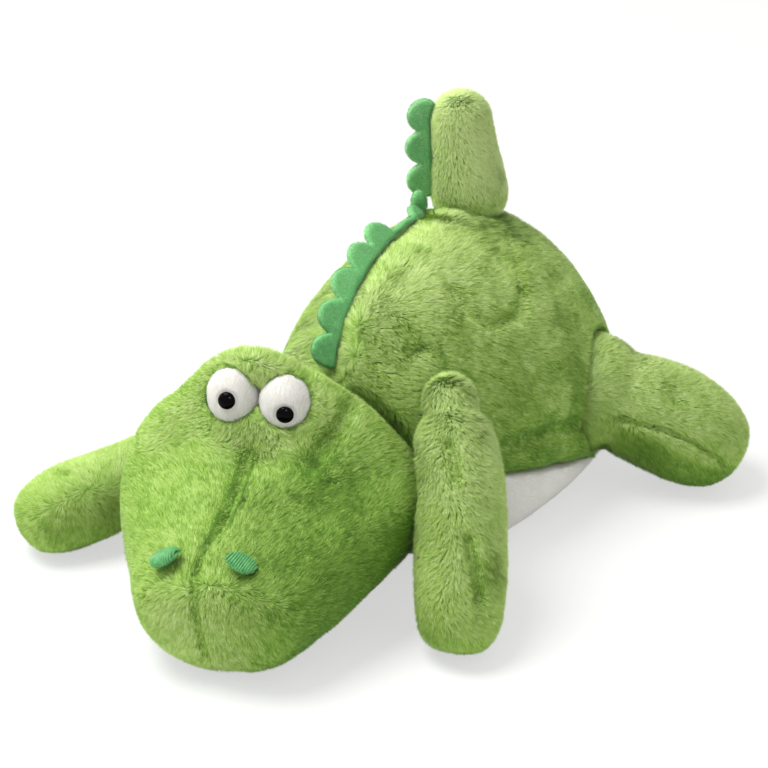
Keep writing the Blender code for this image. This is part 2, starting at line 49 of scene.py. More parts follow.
def linear(code):
    """A screen colour, written as six hex digits, as the light it stands for."""
    parts = [int(code[k : k + 2], 16) / 255 for k in (1, 3, 5)]
    return tuple(p / 12.92 if p <= 0.04045 else ((p + 0.055) / 1.055) ** 2.4 for p in parts)


def add_node(tree, kind, sockets=None, **settings):
    """A shader node with its settings, and with each named socket given a value or a link."""
    made = tree.nodes.new(kind)
    for name, value in settings.items():
        setattr(made, name, value)
    for name, value in (sockets or {}).items():
        socket = made.inputs[name]
        if isinstance(value, bpy.types.NodeSocket):
            tree.links.new(value, socket)
        elif isinstance(value, tuple) and len(value) == 3 and socket.type == "RGBA":
            socket.default_value = (*value, 1.0)
        else:
            socket.default_value = value
    return made


def new_material(name):
    """An empty material with its output node."""
    material = bpy.data.materials.new(name)
    material.use_nodes = True
    material.node_tree.nodes.clear()
    output = add_node(material.node_tree, "ShaderNodeOutputMaterial")
    return material, material.node_tree, output


def placed(name, mesh, material=None):
    """An object for a mesh, put in the scene, with its material if it has one already."""
    thing = bpy.data.objects.new(name, mesh)
    bpy.context.scene.collection.objects.link(thing)
    if material is not None:
        mesh.materials.append(material)
    return thing


def aimed(place, target):
    """A frame at a place whose -Z looks at the target and whose Y is upright."""
    look = (target - place).to_track_quat("-Z", "Y")
    return Matrix.Translation(place) @ look.to_matrix().to_4x4()


MIDDLE_OF_VIEW = Vector((0.0, -0.075, 0.105))
ROUND_TO_LEFT = math.radians(30)
ABOVE = math.radians(28)
CAMERA_AWAY = 2.0
SENSOR_WIDTH = 36.0
LENS = 126.7

towards_camera = Vector((
    math.sin(ROUND_TO_LEFT) * math.cos(ABOVE),
    -math.cos(ROUND_TO_LEFT) * math.cos(ABOVE),
    math.sin(ABOVE),
))
camera_data = bpy.data.cameras.new("camera")
camera_data.sensor_width = SENSOR_WIDTH
camera_data.lens = LENS
camera_data.clip_end = 30.0
camera = bpy.data.objects.new("camera", camera_data)
bpy.context.scene.collection.objects.link(camera)
camera.matrix_world = aimed(MIDDLE_OF_VIEW + towards_camera * CAMERA_AWAY, MIDDLE_OF_VIEW)
bpy.context.scene.camera = camera
bpy.context.scene.view_settings.view_transform = "Standard"


def softbox(name, place, target, size, power, colour):
    """A round soft lamp at a place, turned to its target."""
    lamp = bpy.data.lights.new(name, "AREA")
    lamp.shape = "DISK"
    lamp.size = size
    lamp.energy = power
    lamp.color = colour
    thing = bpy.data.objects.new(name, lamp)
    bpy.context.scene.collection.objects.link(thing)
    thing.matrix_world = aimed(Vector(place), Vector(target))
    return thing


softbox("overhead_lamp", (-0.62, -0.48, 1.80), (0.0, -0.04, 0.05), 1.2, 38.5, (1.0, 0.99, 0.96))
softbox("far_side_lamp", (-1.70, -0.45, 0.85), (-0.05, -0.10, 0.08), 1.0, 3.5, (1.0, 1.0, 0.98))
pupil_lamp = softbox("pupil_lamp", (0.85, -1.15, 1.20), (-0.02, -0.21, 0.15), 0.30, 14.0, (1.0, 1.0, 1.0))
pupil_lamp.visible_diffuse = False

# The room's light: dim and even on the toy, and white where the camera, gloss or glass sees it.
ROOM_LIGHT = 0.58
sky = bpy.data.worlds.new("sweep_light")
sky.use_nodes = True
bpy.context.scene.world = sky
sky.node_tree.nodes.clear()
path = add_node(sky.node_tree, "ShaderNodeLightPath")
seen = add_node(
    sky.node_tree, "ShaderNodeMath",
    {0: path.outputs["Is Camera Ray"], 1: path.outputs["Is Glossy Ray"]}, operation="ADD",
)
seen = add_node(
    sky.node_tree, "ShaderNodeMath",
    {0: seen.outputs[0], 1: path.outputs["Is Transmission Ray"]}, operation="ADD", use_clamp=True,
)
dim = add_node(sky.node_tree, "ShaderNodeBackground", {"Color": (1.0, 1.0, 0.95), "Strength": ROOM_LIGHT})
white = add_node(sky.node_tree, "ShaderNodeBackground", {"Color": (1.0, 1.0, 1.0), "Strength": 1.0})
both = add_node(
    sky.node_tree, "ShaderNodeMixShader", {0: seen.outputs[0], 1: dim.outputs[0], 2: white.outputs[0]}
)
add_node(sky.node_tree, "ShaderNodeOutputWorld", {"Surface": both.outputs[0]})

FLOOR_HALF = 7.0
floor_mesh = bpy.data.meshes.new("floor")
floor_corners = [(x * FLOOR_HALF, y * FLOOR_HALF, 0) for x, y in ((-1, -1), (1, -1), (1, 1), (-1, 1))]
floor_mesh.from_pydata(floor_corners, [], [(0, 1, 2, 3)])

# Matt white paper, faintly clouded where its pulp lies thicker, about every 16 mm. To the camera it is washed
# out towards white, so that it runs into the background but keeps the toy's shadow.
PAPER_CLOUD = 0.015556
PAPER_WASH = 0.60
sweep_paper, tree, output = new_material("white_sweep_paper")
pulp = add_node(tree, "ShaderNodeTexNoise", {"Scale": 2 * FLOOR_HALF / PAPER_CLOUD, "Detail": 3.0})
shade = add_node(tree, "ShaderNodeMapRange", {"Value": pulp.outputs[0], "To Min": 0.955, "To Max": 0.985})
paper = add_node(
    tree, "ShaderNodeBsdfPrincipled",
    {"Base Color": shade.outputs[0], "Roughness": 0.9, "Specular IOR Level": 0.1},
)
glow = add_node(tree, "ShaderNodeEmission", {"Color": (1.0, 1.0, 1.0), "Strength": 1.0})
seen = add_node(tree, "ShaderNodeLightPath")
part = add_node(
    tree, "ShaderNodeMath", {0: seen.outputs["Is Camera Ray"], 1: PAPER_WASH}, operation="MULTIPLY"
)
washed = add_node(tree, "ShaderNodeMixShader", {0: part.outputs[0], 1: paper.outputs[0], 2: glow.outputs[0]})
tree.links.new(washed.outputs[0], output.inputs["Surface"])
placed("floor", floor_mesh, sweep_paper)

# The body: one stuffed bag of long-pile plush, sewn from panels along the spine and the belly. The pile is a
# soft fibre that lies back and down, in tufts, and parts over each seam. A closed backing a little inside the
# solid carries the pile, as the knitted ground of the real cloth does.

MM = 0.001
ON_THE_FLOOR = 0.0008
# The root colour is painted shade deep in the pile.
PILE_GREEN = {
    "root": "#769F3E", "deep": "#527F1C", "shade": "#79A934", "middle": "#A9CD5E", "light": "#D5EA9F",
}
# The knitted ground is a deeper green than the pile, as painted shade between the tufts.
KNIT_GREEN_PAINTED_SHADE = ("#557D2E", "#6C963F")


def vertex_arrays(mesh):
    """The places and normals of a mesh's points."""
    points = np.empty(len(mesh.vertices) * 3, np.float32)
    normals = np.empty(len(mesh.vertices) * 3, np.float32)
    mesh.vertices.foreach_get("co", points)
    mesh.vertices.foreach_get("normal", normals)
    return points.reshape(-1, 3).astype(float), normals.reshape(-1, 3).astype(float)


def backing(node, name, voxel, inside, rounds, form=None):
    """The knitted ground of a stuffed piece: the solid's form, or one given for it, with an even closed mesh,
    its edges softened, and set in by the depth of the pile."""
    mesh = form or frame["nodes"][node].data.copy()
    mesh.materials.clear()
    thing = placed(name, mesh)
    even = thing.modifiers.new("even", "REMESH")
    even.mode = "VOXEL"
    even.voxel_size = voxel
    soft = thing.modifiers.new("soft", "SMOOTH")
    soft.factor = 0.5
    soft.iterations = rounds
    inset = thing.modifiers.new("inset", "DISPLACE")
    inset.strength = -inside
    inset.mid_level = 0.0
    settle = thing.modifiers.new("settle", "SMOOTH")
    settle.factor = 0.5
    settle.iterations = 4
    bpy.context.view_layer.update()
    shaped = thing.evaluated_get(bpy.context.evaluated_depsgraph_get())
    done = bpy.data.meshes.new_from_object(shaped)
    thing.modifiers.clear()
    thing.data = done
    done.shade_smooth()
    return thing


def away_from(points, ups, line):
    """How far each point lies to the side of a line over the surface, and the way off it along the surface.

    Points far above or below the line count as farther off, so that it doesn't reach through a thin piece."""
    nearest = np.full(len(points), 9.0)
    off = np.zeros_like(points)
    line = np.asarray(line, float)
    for start, end in zip(line, line[1:]):
        run = end - start
        share = np.clip(((points - start) @ run) / (run @ run), 0, 1)
        step = points - start - share[:, None] * run
        rise = (step * ups).sum(1)
        step = step - ups * rise[:, None]
        too_high = np.maximum(rise - 2 * MM, 0) + np.maximum(-rise - 12 * MM, 0)
        reach = np.linalg.norm(step, axis=1) + 3 * too_high
        closer = reach < nearest
        nearest[closer] = reach[closer]
        off[closer] = step[closer]
    return nearest, off


def press(thing, creases, swell=0.0, spread=0.045, seed=1):
    """Fills a backing out unevenly, as stuffing does, and draws it in along its seams and tucks.

    A crease is a line, its depth, its half width and how much painted shade deepens the pile's tone along it."""
    points, normals = vertex_arrays(thing.data)
    points += normals * (swell * drift(points, spread, seed + 1))[:, None]
    for line, depth, width, _ in creases:
        reach, _ = away_from(points, normals, line)
        points -= normals * (depth * np.exp(-((reach / width) ** 2)))[:, None]
    points[:, 2] = np.maximum(points[:, 2], ON_THE_FLOOR)
    thing.data.vertices.foreach_set("co", points.astype(np.float32).ravel())
    thing.data.update()


def close_up(thing, pivots, reach, amount):
    """Brings a backing nearer to its neighbour round the seams of its joints."""
    points, normals = vertex_arrays(thing.data)
    for pivot in pivots:
        away = np.linalg.norm(points - np.array(pivot), axis=1)
        points += normals * (amount / (1 + np.exp((away - reach) / (4 * MM))))[:, None]
    points[:, 2] = np.maximum(points[:, 2], ON_THE_FLOOR)
    thing.data.vertices.foreach_set("co", points.astype(np.float32).ravel())
    thing.data.update()


def scattered(cells, seed):
    """A number from 0 to 1 for each whole-numbered cell."""
    mixed = cells[..., 0] * 73856093 ^ cells[..., 1] * 19349663 ^ cells[..., 2] * 83492791 ^ seed * 97531
    mixed = (mixed ^ (mixed >> 13)) & 0x7FFFFFFF
    mixed = (mixed * 1103515245 + 12345) & 0x7FFFFFFF
    mixed = ((mixed ^ (mixed >> 15)) * 1274126177) & 0x7FFFFFFF
    return ((mixed >> 8) & 0xFFFF) / 65535.0


def drift(points, size, seed):
    """A smooth wandering value from -1 to 1 that changes over about this size."""
    spot = points / size
    cell = np.floor(spot).astype(np.int64)
    part = spot - cell
    part = part * part * (3 - 2 * part)
    total = np.zeros(len(points))
    for dx in (0, 1):
        for dy in (0, 1):
            for dz in (0, 1):
                share = (
                    (part[:, 0] if dx else 1 - part[:, 0])
                    * (part[:, 1] if dy else 1 - part[:, 1])
                    * (part[:, 2] if dz else 1 - part[:, 2])
                )
                total += share * scattered(cell + np.array((dx, dy, dz)), seed)
    return total * 2 - 1


def wander(points, size, seed):
    """A direction that drifts from place to place."""
    return np.stack([drift(points, size, seed + k) for k in range(3)], axis=1)


def tufts(points, size, seed):
    """The middle of the tuft that each fibre belongs to, and a number from 0 to 1 for the tuft."""
    cell = np.floor(points / size - 0.5).astype(np.int64)
    nearest = np.full(len(points), 9.0)
    middle = np.zeros_like(points)
    number = np.zeros(len(points))
    for step in np.ndindex(2, 2, 2):
        near = cell + np.array(step)
        inside = np.stack([scattered(near, seed + 11 * k) for k in range(3)], axis=1) * 0.8 + 0.1
        spot = (near + inside) * size
        reach = ((points - spot) ** 2).sum(1)
        closer = reach < nearest
        nearest[closer] = reach[closer]
        middle[closer] = spot[closer]
        number[closer] = scattered(near[closer], seed + 77)
    return middle, number


def unit(vectors):
    """Directions brought to length one."""
    return vectors / np.maximum(np.linalg.norm(vectors, axis=1, keepdims=True), 1e-9)


PRESSED_FLAT = 0.0003
MOST_FIBRES = 180000


def blades(name, roots, tips, sides, normals, widths, tones, material):
    """A mesh of fibres, each one long pointed strip. The map holds a fibre's tone and the place along it."""
    count = len(roots)
    half = sides * widths[:, None] / 2
    points = np.stack([roots - half, roots + half, tips], axis=1)
    points[:, :, 2] = np.maximum(points[:, :, 2], PRESSED_FLAT)
    mesh = bpy.data.meshes.new(name)
    mesh.vertices.add(count * 3)
    mesh.vertices.foreach_set("co", points.astype(np.float32).ravel())
    mesh.loops.add(count * 3)
    mesh.loops.foreach_set("vertex_index", np.arange(count * 3, dtype=np.int32))
    mesh.polygons.add(count)
    mesh.polygons.foreach_set("loop_start", np.arange(count, dtype=np.int32) * 3)
    mesh.update(calc_edges=True)
    mesh.shade_smooth()
    spread = mesh.uv_layers.new(name="OFBake")
    tone = np.repeat(np.clip(tones, 0.01, 0.99), 3)
    along = np.tile([0.02, 0.02, 0.98], count)
    spread.data.foreach_set("uv", np.stack([tone, along], axis=1).astype(np.float32).ravel())
    mesh.normals_split_custom_set_from_vertices(np.repeat(normals, 3, axis=0).astype(np.float32))
    return placed(name, mesh, material)


def grow(name, ground, body, material, seed, comb, density, length, width=0.00038, lean=59,
         creases=(), keep=None, trim_to=None, tuft=0.0021, gather=0.56, tone_and_painted_light_at=None, swirl=0.45,
         cloud=0.07, grain=1.0):
    """Covers a backing with pile: fibres over its whole surface, combed, leaning and drawn together in tufts.

    Density is in fibres a square millimetre, and lean in degrees from upright. Comb gives the way the pile
    lies, keep says where it grows, trim_to shortens or turns its tips, and tone_and_painted_light_at makes it
    paler or deeper, mostly as painted light and shade.
    Gather is how far tips are drawn to their tuft's middle, swirl how far the pile strays from its comb, cloud
    how much its tone drifts from place to place, and grain how much from tuft to tuft and fibre to fibre. A
    large pile is split from front to back, because an exported piece holds under 200,000 triangles."""
    dice = np.random.default_rng(seed)
    mesh = ground.data
    mesh.calc_loop_triangles()
    corners = np.empty(len(mesh.loop_triangles) * 3, np.int32)
    mesh.loop_triangles.foreach_get("vertices", corners)
    corners = corners.reshape(-1, 3)
    points, normals = vertex_arrays(mesh)
    a, b, c = points[corners[:, 0]], points[corners[:, 1]], points[corners[:, 2]]
    areas = np.linalg.norm(np.cross(b - a, c - a), axis=1) / 2
    count = int(areas.sum() * density * 1e6 * (1.0))
    chosen = np.searchsorted(np.cumsum(areas) / areas.sum(), (np.arange(count) + dice.random(count)) / count)
    chosen = np.minimum(chosen, len(areas) - 1)
    u = np.sqrt(dice.random(count))[:, None]
    v = dice.random(count)[:, None]
    shares = (1 - u, u * (1 - v), u * v)
    roots = sum(share * points[corners[chosen, k]] for k, share in enumerate(shares))
    ups = unit(sum(share * normals[corners[chosen, k]] for k, share in enumerate(shares)))
    kept = ~((roots[:, 2] < 6 * MM) & (ups[:, 2] < -0.8))
    if keep is not None:
        kept &= keep(roots, ups)
    roots, ups = roots[kept], ups[kept]
    count = len(roots)
    lay = comb(roots, ups)
    lay = lay + wander(roots, 34 * MM, seed + 5) * swirl + wander(roots, 13 * MM, seed + 9) * swirl * 0.5
    long = length * (0.80 + 0.40 * dice.random(count)) * (1 + 0.12 * drift(roots, 0.02, seed + 3))
    clouds = drift(roots, 45 * MM, seed + 1) + 0.8 * drift(roots, 16 * MM, seed + 2)
    # Painted light: the pile is paler where it faces up, and deeper where it faces down.
    tone = 0.46 + 0.12 * ups[:, 2] + cloud * clouds
    for line, _, half_width, _ in creases:
        reach, off = away_from(roots, ups, line)
        near = np.exp(-((reach / (half_width * 1.25)) ** 2))
        lay += unit(off) * (near * 0.5)[:, None]
        long *= 1 - 0.40 * near
    if tone_and_painted_light_at is not None:
        tone += tone_and_painted_light_at(roots, ups)
    small, number = tufts(roots, tuft, seed)
    large, larger = tufts(roots, tuft * 3.0, seed + 31)
    _, patch = tufts(roots + wander(roots, 10 * MM, seed + 41) * 6 * MM, 28 * MM, seed + 47)
    fine, finer = tufts(roots, tuft * 0.55, seed + 61)
    tone += grain * (0.15 * (number - 0.5) + 0.24 * (finer - 0.5) + 0.30 * (dice.random(count) - 0.5))
    tone += 0.18 * (larger - 0.5) + 1.6 * cloud * (patch - 0.5)
    long *= 0.90 + 0.20 * number
    lay = unit(lay - ups * (lay * ups).sum(1, keepdims=True))
    strays = 24 * (dice.random(count) - 0.5)
    turn = np.radians(38 * (patch - 0.5) + 34 * (larger - 0.5) + 30 * (number - 0.5) + strays)
    lay = lay * np.cos(turn)[:, None] + np.cross(ups, lay) * np.sin(turn)[:, None]
    strays = 18 * (dice.random(count) - 0.5)
    slant = np.radians(lean + strays + 16 * (number - 0.5) + 12 * (patch - 0.5))[:, None]
    tips = roots + long[:, None] * (ups * np.cos(slant) + lay * np.sin(slant))
    for middle_of, share in ((small, gather * 0.7), (fine, gather * 0.5), (large, gather * 0.3)):
        pull = middle_of - roots
        tips += (pull - ups * (pull * ups).sum(1, keepdims=True)) * share
    # Painted shade: the pile is deeper in tone where its tips lie along a crease or seam.
    for line, _, half_width, deeper in creases:
        tone -= deeper * np.exp(-((away_from(tips, ups, line)[0] / half_width) ** 2))
    if trim_to is not None:
        tips = trim_to(roots, tips)
    strand = unit(tips - roots)
    across = unit(np.cross(strand, ups))
    out = unit(ups - strand * (strand * ups).sum(1, keepdims=True))
    roll = np.radians(36 * (dice.random(count) - 0.5))[:, None]
    sides = across * np.cos(roll) + out * np.sin(roll)
    facing = unit(ups * 0.72 + out * 0.28 + across * (0.3 * (dice.random(count) - 0.5))[:, None])
    widths = width * (0.7 + 0.6 * dice.random(count))
    order = np.argsort(roots[:, 1], kind="stable")
    groups = max(1, math.ceil(count / MOST_FIBRES))
    for k, part in enumerate(np.array_split(order, groups)):
        label = name if groups == 1 else f"{name}_{k + 1}"
        pile = blades(
            label, roots[part], tips[part], sides[part], facing[part], widths[part], tone[part], material
        )
        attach(pile, body)


def pile_material(name, colours, roughness=0.62, sheen=0.12, root_end=0.42):
    """Polyester fibre, spun and sheared: matt, each fibre of its own tone from deep to pale, and one deeper
    colour at its root, as painted shade deep in the pile. The eye sees streaks and tufts, and its sheen puts a
    soft light along the pile's edges."""
    material, tree, output = new_material(name)
    place = add_node(tree, "ShaderNodeUVMap", uv_map="OFBake")
    parts = add_node(tree, "ShaderNodeSeparateXYZ", {"Vector": place.outputs[0]})
    tone = add_node(tree, "ShaderNodeValToRGB", {"Fac": parts.outputs[0]})
    ramp = tone.color_ramp
    ramp.elements[0].position = 0.02
    ramp.elements[0].color = (*linear(colours["deep"]), 1)
    ramp.elements.new(0.20).color = (*linear(colours["shade"]), 1)
    ramp.elements[-1].position = 0.92
    ramp.elements[-1].color = (*linear(colours["light"]), 1)
    ramp.elements.new(0.5).color = (*linear(colours["middle"]), 1)
    depth = add_node(
        tree, "ShaderNodeMapRange", {"Value": parts.outputs[1], "From Min": 0.0, "From Max": root_end}
    )
    # Painted shade: each fibre runs to the root colour towards its root.
    root = add_node(
        tree, "ShaderNodeMix",
        {"Factor": depth.outputs[0], 6: linear(colours["root"]), 7: tone.outputs[0]}, data_type="RGBA",
    )
    skin = add_node(
        tree, "ShaderNodeBsdfPrincipled",
        {"Base Color": root.outputs[2], "Roughness": roughness, "Specular IOR Level": 0.22,
         "Sheen Weight": sheen, "Sheen Roughness": 0.5},
    )
    tree.links.new(skin.outputs[0], output.inputs["Surface"])
    return material


def knit_material(name, dark, pale, loop):
    """Knitted polyester under a pile: dull, with loops of the given size that are darker between them. The
    colours given for it are deeper than its pile's, as painted shade: through the pile it is only shade
    between the tufts, and where the pile parts, a close soft grain."""
    material, tree, output = new_material(name)
    place = add_node(tree, "ShaderNodeTexCoord")
    loops = add_node(tree, "ShaderNodeTexVoronoi", {"Vector": place.outputs["Object"], "Scale": 1 / loop})
    cloud = add_node(
        tree, "ShaderNodeTexNoise",
        {"Vector": place.outputs["Object"], "Scale": 1 / (14.286 * MM), "Detail": 4.0},
    )
    amount = add_node(tree, "ShaderNodeMath", {0: loops.outputs[0], 1: cloud.outputs[0]}, operation="ADD")
    shade = add_node(
        tree, "ShaderNodeMapRange", {"Value": amount.outputs[0], "From Min": 0.2, "From Max": 1.1}
    )
    colour = add_node(
        tree, "ShaderNodeMix",
        {"Factor": shade.outputs[0], 6: linear(pale), 7: linear(dark)}, data_type="RGBA",
    )
    relief = add_node(
        tree, "ShaderNodeBump", {"Height": loops.outputs[0], "Strength": 0.5, "Distance": 0.6 * MM}
    )
    skin = add_node(
        tree, "ShaderNodeBsdfPrincipled",
        {"Base Color": colour.outputs[2], "Roughness": 0.95, "Specular IOR Level": 0.1,
         "Normal": relief.outputs[0], "Sheen Weight": 0.3},
    )
    tree.links.new(skin.outputs[0], output.inputs["Surface"])
    return material


green_pile = pile_material("green_plush_long_pile", PILE_GREEN)
green_knit = knit_material("green_plush_knitted_ground", *KNIT_GREEN_PAINTED_SHADE, 1.1 * MM)

NECK = np.array((-0.030, -0.150, 0.090))
yaw = Matrix.Rotation(math.radians(15), 3, "Z")
pitch = Matrix.Rotation(math.radians(11), 3, "X")
roll = Matrix.Rotation(math.radians(-5), 3, "Y")
HEAD_AXES = np.array(yaw @ pitch @ roll)
NECK_REACH = 0.060
BODY_MIDDLE = 0.016
TRIM_FOOT = -0.010
PIVOTS = {joint["child"]: np.array(joint["pos_m"]) for joint in frame["joints"]}
SOCKETS = {"arm": 0.012, "leg": 0.030, "tail": 0.022}
TAIL_SEAM_RADIUS = 0.0285

above_the_belly = [
    (0.096, 0.080, 0.046), (0.126, 0.010, 0.068), (0.130, -0.018, 0.079), (0.126, -0.047, 0.088),
    (0.120, -0.078, 0.093), (0.114, -0.099, 0.096),
]
round_the_tail = [
    (0.006 + TAIL_SEAM_RADIUS * math.cos(angle), 0.044 + TAIL_SEAM_RADIUS * math.sin(angle), 0.2155)
    for angle in (math.radians(15 * k) for k in range(25))
]
down_the_rump = [(0.0530, 0.0119, 0.2029), (0.0710, -0.0044, 0.1926), (0.0848, -0.0208, 0.1801)]
hooked_tuck = [
    (0.0848, -0.0208, 0.1801), (0.0916, -0.0445, 0.1709), (0.0849, -0.0704, 0.1733),
    (0.0689, -0.0803, 0.1871), (0.0567, -0.0789, 0.1978),
]
shoulder_tuck = [
    (0.0542, -0.1295, 0.1700), (0.0599, -0.1210, 0.1725), (0.0702, -0.1175, 0.1656), (0.0765, -0.1199, 0.1556)
]
# The last number of each crease is the painted shade of the pile along it.
body_creases = [
    (above_the_belly, 0.0036, 0.0060, 0.12),
    (round_the_tail, 0.0014, 0.0040, 0.10),
    (down_the_rump, 0.0008, 0.0050, 0.03),
    (hooked_tuck, 0.0022, 0.0050, 0.12),
    (shoulder_tuck, 0.0022, 0.0034, 0.14),
]


def comb_body(roots, ups):
    """Down the body's sides, back along its left and forward along its right, parting under the trim."""
    side = np.tanh((roots[:, 0] - BODY_MIDDLE) / 0.03)
    past_the_trim = np.tanh((roots[:, 0] - TRIM_FOOT) / 0.010)
    lay = np.stack([side * 0.6, 0.60 * past_the_trim - 0.05, np.full(len(roots), -0.70)], axis=1)
    return lay + wander(roots, 0.07, 402) * 0.7


def body_painted_light(roots, ups):
    """Painted light along the top and towards the legs, and painted shade down the flanks."""
    change = 0.12 * np.clip((ups[:, 2] - 0.4) / 0.4, -1, 1) - 0.16 * np.clip(ups[:, 0], 0, 1)
    for limb, place in PIVOTS.items():
        if "leg" in limb:
            change += 0.17 * np.exp(-((np.linalg.norm(roots - place, axis=1) / 0.052) ** 2))
    return change


def body_shows(roots, ups):
    """Leaves out the pile inside the sockets of the limbs and the tail, and on the front of the neck."""
    own = (roots - NECK) @ HEAD_AXES
    kept = (np.linalg.norm(own, axis=1) > NECK_REACH) | (own[:, 1] > -NECK_REACH / 2)
    for socket, reach in SOCKETS.items():
        for limb, place in PIVOTS.items():
            if socket in limb:
                kept &= np.linalg.norm(roots - place, axis=1) > reach
    return kept


def short_on_the_neck(roots, tips):
    """The neck's pile is clipped short, so that the head turns over it."""
    inside = np.linalg.norm(roots - NECK, axis=1) < NECK_REACH
    tips[inside] = roots[inside] + (tips[inside] - roots[inside]) * 0.55
    return tips


torso_skin = backing("torso", "torso_skin", 0.0036, 0.0034, 12)
press(torso_skin, body_creases, 0.0026, 0.045, 11)
rump_seams = [place for limb, place in PIVOTS.items() if "leg" in limb or limb == "tail"]
shoulder_seams = [place for limb, place in PIVOTS.items() if "arm" in limb]
close_up(torso_skin, rump_seams, 0.048, 0.0026)
close_up(torso_skin, shoulder_seams, 0.036, 0.0020)
torso_skin.data.materials.append(green_knit)
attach(torso_skin, "torso")
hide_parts("torso")
grow("torso_pile", torso_skin, "torso", green_pile, 11, comb_body, 4.2, 0.0057,
     creases=body_creases, keep=body_shows, trim_to=short_on_the_neck, tone_and_painted_light_at=body_painted_light,
     cloud=0.12, grain=1.7, tuft=0.0018, gather=0.58, lean=54)

# The head: a broad flat snout that swells into cheeks, with a brow that stands up behind the eyes.
# A seam runs down the middle, tight over the nose and in a soft valley behind it, and tucks draw in
# the brow's ends and the near cheek.


def on_head(*points):
    """Places given along the head's own left, back and up, in millimetres from the neck."""
    return [tuple(NECK + HEAD_AXES @ (np.array(point) / 1000)) for point in points]


EYE_HALF = np.array((0.0190, 0.0200, 0.0216))
EYE_PLACES = {"left": np.array((0.0181, -0.0471, 0.0684)), "right": np.array((-0.0201, -0.0471, 0.0720))}
FACE_MIDDLE = -0.007
NOSTRIL_ASIDE = 0.027
NOSTRIL_SPOTS = [np.array((FACE_MIDDLE + side * NOSTRIL_ASIDE, -0.1800, 0.0360)) for side in (1, -1)]
TUCK = np.array((0.047, -0.083, 0.046))

valley = on_head((-5, -84, 52), (-5.5, -101, 45.6), (-6.5, -124, 42), (-6.5, -149, 40))
valley_seam = on_head((-4.8, -85, 52), (-5.5, -101, 45.6), (-6.5, -124, 42), (-6.5, -140, 40.5))
nose_seam = on_head(
    (-6.5, -130, 41), (-8, -150, 40), (-11, -165, 38.5), (-12, -191, 32.5),
    (-9, -206, 23), (-8, -213, 1), (-8, -212, -25),
)
near_brow_tuck = on_head((62, -44, 64), (60, -53, 61), (54, -65, 55), (46, -76, 49), (38, -86, 46))
far_brow_tuck = on_head((-70, -38, 66), (-49, -44, 82), (-42, -57, 73), (-37, -67, 64))
cheek_tuck_outward = on_head((47, -83, 46), (58, -92, 41))
cheek_tuck_forward = on_head((47, -83, 46), (40, -97, 43))
# The last number of each crease is the painted shade of the pile along it.
head_creases = [
    (valley, 0.0046, 0.0110, 0.06),
    (valley_seam, 0.0030, 0.0038, 0.24),
    (nose_seam, 0.0042, 0.0024, 0.34),
    (near_brow_tuck, 0.0044, 0.0070, 0.20),
    (far_brow_tuck, 0.0016, 0.0090, 0.06),
    (cheek_tuck_outward, 0.0034, 0.0040, 0.28),
    (cheek_tuck_forward, 0.0022, 0.0035, 0.16),
]


def comb_head(roots, ups):
    """Back along the head, down its nose, sides and rear, out of the near cheek's tuck, and off the eyes."""
    own = (roots - NECK) @ HEAD_AXES
    side = np.tanh((own[:, 0] - FACE_MIDDLE) / 0.020)
    back = (ups @ HEAD_AXES)[:, 1]
    front = np.clip((-back - 0.40) / 0.35, 0, 1)
    rear = np.clip((back - 0.10) / 0.40, 0, 1)
    lay = np.stack([side * 0.45, 0.80 - 0.85 * front - 0.80 * rear, -0.30 - 0.70 * (front + rear)], axis=1)
    off = own - TUCK
    reach = np.linalg.norm(off, axis=1)
    lay += unit(off) * (1.3 * np.exp(-((reach / 0.030) ** 2)))[:, None]
    for place in EYE_PLACES.values():
        off = (own - place) / EYE_HALF
        reach = np.linalg.norm(off, axis=1)
        lay += unit(off) * (0.6 * np.exp(-((reach - 1) / 0.30) ** 2))[:, None]
    for place in NOSTRIL_SPOTS:
        off = own - place
        reach = np.linalg.norm(off, axis=1)
        lay += unit(off) * (0.7 * np.exp(-((reach / 0.013) ** 4)))[:, None]
    return lay @ HEAD_AXES.T


def head_shows(roots, ups):
    """Leaves out the pile in the neck's socket, under the eyes and between them, and under the nostrils."""
    own = (roots - NECK) @ HEAD_AXES
    kept = np.linalg.norm(own, axis=1) > 0.0625
    reaches = [np.linalg.norm((own - place) / EYE_HALF, axis=1) for place in EYE_PLACES.values()]
    kept &= (reaches[0] > 1.02) & (reaches[1] > 1.02) & ~((reaches[0] < 1.28) & (reaches[1] < 1.28))
    for place in NOSTRIL_SPOTS:
        kept &= np.linalg.norm((own - place) / (0.0098, 0.0052, 0.02), axis=1) > 1.0
    return kept


def off_the_eyes(roots, tips):
    """Keeps the pile from growing over the eyeballs."""
    for place in EYE_PLACES.values():
        own = (tips - NECK) @ HEAD_AXES
        off = own - place
        reach = np.linalg.norm(off / (EYE_HALF + 0.0004), axis=1)
        inside = reach < 1.0
        off[inside] /= reach[inside, None]
        tips[inside] = NECK + (place + off[inside]) @ HEAD_AXES.T
    return tips


def head_tone_and_painted_light(roots, ups):
    """Painted shade in the corners round the eyes, along the near side of the snout and a little on its far
    side, and painted light on nose and brow, over a deeper tone for the whole head.
    """
    own = (roots - NECK) @ HEAD_AXES
    near_side = 1 / (1 + np.exp(-(own[:, 0] - 0.022) / 0.010))
    before_the_eyes = 1 / (1 + np.exp((own[:, 1] + 0.075) / 0.014))
    far_side = 1 / (1 + np.exp((own[:, 0] + 0.010) / 0.012))
    nose = np.clip(-(ups @ HEAD_AXES)[:, 1] - 0.3, 0, 0.6)
    brow = np.exp(-(((own[:, 1] + 0.03) / 0.03) ** 2))
    change = 0.52 * nose + 0.12 * brow - 0.30 * near_side * before_the_eyes - 0.03 * far_side - 0.17
    for place in EYE_PLACES.values():
        reach = np.linalg.norm((own - place) / EYE_HALF, axis=1)
        change -= 0.08 * np.exp(-((reach - 1) / 0.15) ** 2)
    return change


